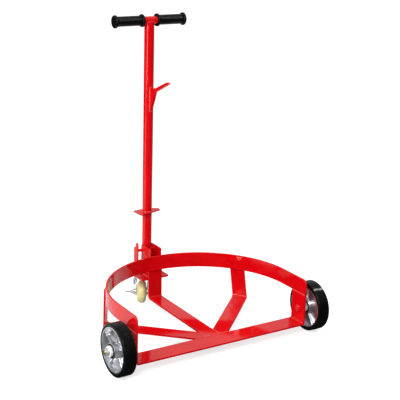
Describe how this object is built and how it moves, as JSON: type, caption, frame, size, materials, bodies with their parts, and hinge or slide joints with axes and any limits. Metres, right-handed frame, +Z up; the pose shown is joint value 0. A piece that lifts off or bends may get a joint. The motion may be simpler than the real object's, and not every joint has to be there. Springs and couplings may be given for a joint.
{
  "type": "drum trolley",
  "caption": "Low-profile drum trolley: open ring of flat bar on side wheels and a rear swivel caster, with a tilting T-handle, hook and foot pedal.",
  "frame": {"origin": "on the floor, under the middle of the whole trolley's box", "axes": "+X to the right as the user pushes from behind the handle, +Y to the rear, +Z up"},
  "size_m": [0.7842, 0.608, 0.9735],
  "materials": {
    "red_powder_coat": "glossy red powder coat",
    "zinc_steel": "bright zinc plate",
    "yellow_zinc": "yellow passivated zinc plate",
    "cast_aluminium": "as cast, turned at the hub",
    "black_tread": "satin black polyurethane",
    "bearing_steel": "ground",
    "black_rubber": "moulded, satin",
    "white_nylon": "turned nylon",
    "bronze": "sintered bronze",
    "dark_steel": "blackened",
    "cream_nylon": "moulded nylon"
  },
  "bodies": {
    "chassis": {"ring_band": "red_powder_coat", "front_bar": "red_powder_coat", "rear_leg": "red_powder_coat", "right_leg": "red_powder_coat", "left_leg": "red_powder_coat", "left_cheek": "red_powder_coat", "right_cheek": "red_powder_coat", "tie_pin": "red_powder_coat", "pivot_bolt": "zinc_steel", "pivot_nut": "zinc_steel", "pivot_washers": "zinc_steel", "left_axle": "yellow_zinc", "right_axle": "yellow_zinc", "inner_spacers": "white_nylon", "outer_spacers": "white_nylon", "axle_washers": "zinc_steel", "axle_nuts": "zinc_steel", "caster_base_plate": "red_powder_coat", "caster_top_plate": "zinc_steel", "caster_mount_bolts": "zinc_steel", "caster_mount_nuts": "zinc_steel", "swivel_balls": "bearing_steel", "caster_kingpin": "zinc_steel"},
    "left_wheel": {"left_wheel_core": "cast_aluminium", "left_tyre": "black_tread", "left_wheel_bearings": "bearing_steel", "left_wheel_seals": "black_rubber"},
    "right_wheel": {"right_wheel_core": "cast_aluminium", "right_tyre": "black_tread", "right_wheel_bearings": "bearing_steel", "right_wheel_seals": "black_rubber"},
    "handle": {"pivot_barrel": "red_powder_coat", "pivot_bushes": "bronze", "handle_tube": "red_powder_coat", "crossbar": "red_powder_coat", "left_grip": "black_rubber", "right_grip": "black_rubber", "hook_plate": "red_powder_coat", "foot_pedal": "red_powder_coat"},
    "lock": {"lock_shaft": "red_powder_coat", "lock_lever": "red_powder_coat", "lock_nut": "dark_steel"},
    "caster_yoke": {"caster_fork": "zinc_steel", "caster_axle": "zinc_steel", "caster_axle_nut": "zinc_steel"},
    "caster_roller": {"caster_wheel": "cream_nylon", "caster_wheel_bush": "bronze"},
    "caster_brake": {"caster_brake_lever": "zinc_steel"}
  },
  "joints": [
    {"name": "left_wheel_spin", "type": "hinge", "parent": "chassis", "child": "left_wheel", "pos_m": [-0.3463, -0.224, 0.08], "axis": [1, 0, 0], "continuous": true},
    {"name": "right_wheel_spin", "type": "hinge", "parent": "chassis", "child": "right_wheel", "pos_m": [0.3463, -0.224, 0.08], "axis": [1, 0, 0], "continuous": true},
    {"name": "handle_tilt", "type": "hinge", "parent": "chassis", "child": "handle", "pos_m": [0, 0.208, 0.15], "axis": [-1, 0, 0], "range_deg": [0, 60]},
    {"name": "lock_turn", "type": "hinge", "parent": "chassis", "child": "lock", "pos_m": [-0.0415, 0.219, 0.191], "axis": [1, 0, 0], "range_deg": [0, 90]},
    {"name": "caster_swivel", "type": "hinge", "parent": "chassis", "child": "caster_yoke", "pos_m": [0, 0.258, 0.09], "axis": [0, 0, 1], "continuous": true},
    {"name": "caster_spin", "type": "hinge", "parent": "caster_yoke", "child": "caster_roller", "pos_m": [-0.01908, 0.22747, 0.038], "axis": [-0.848, 0.5299, 0], "continuous": true},
    {"name": "brake_press", "type": "hinge", "parent": "caster_yoke", "child": "caster_brake", "pos_m": [-0.01908, 0.22747, 0.038], "axis": [-0.848, 0.5299, 0], "range_deg": [0, 30]}
  ]
}
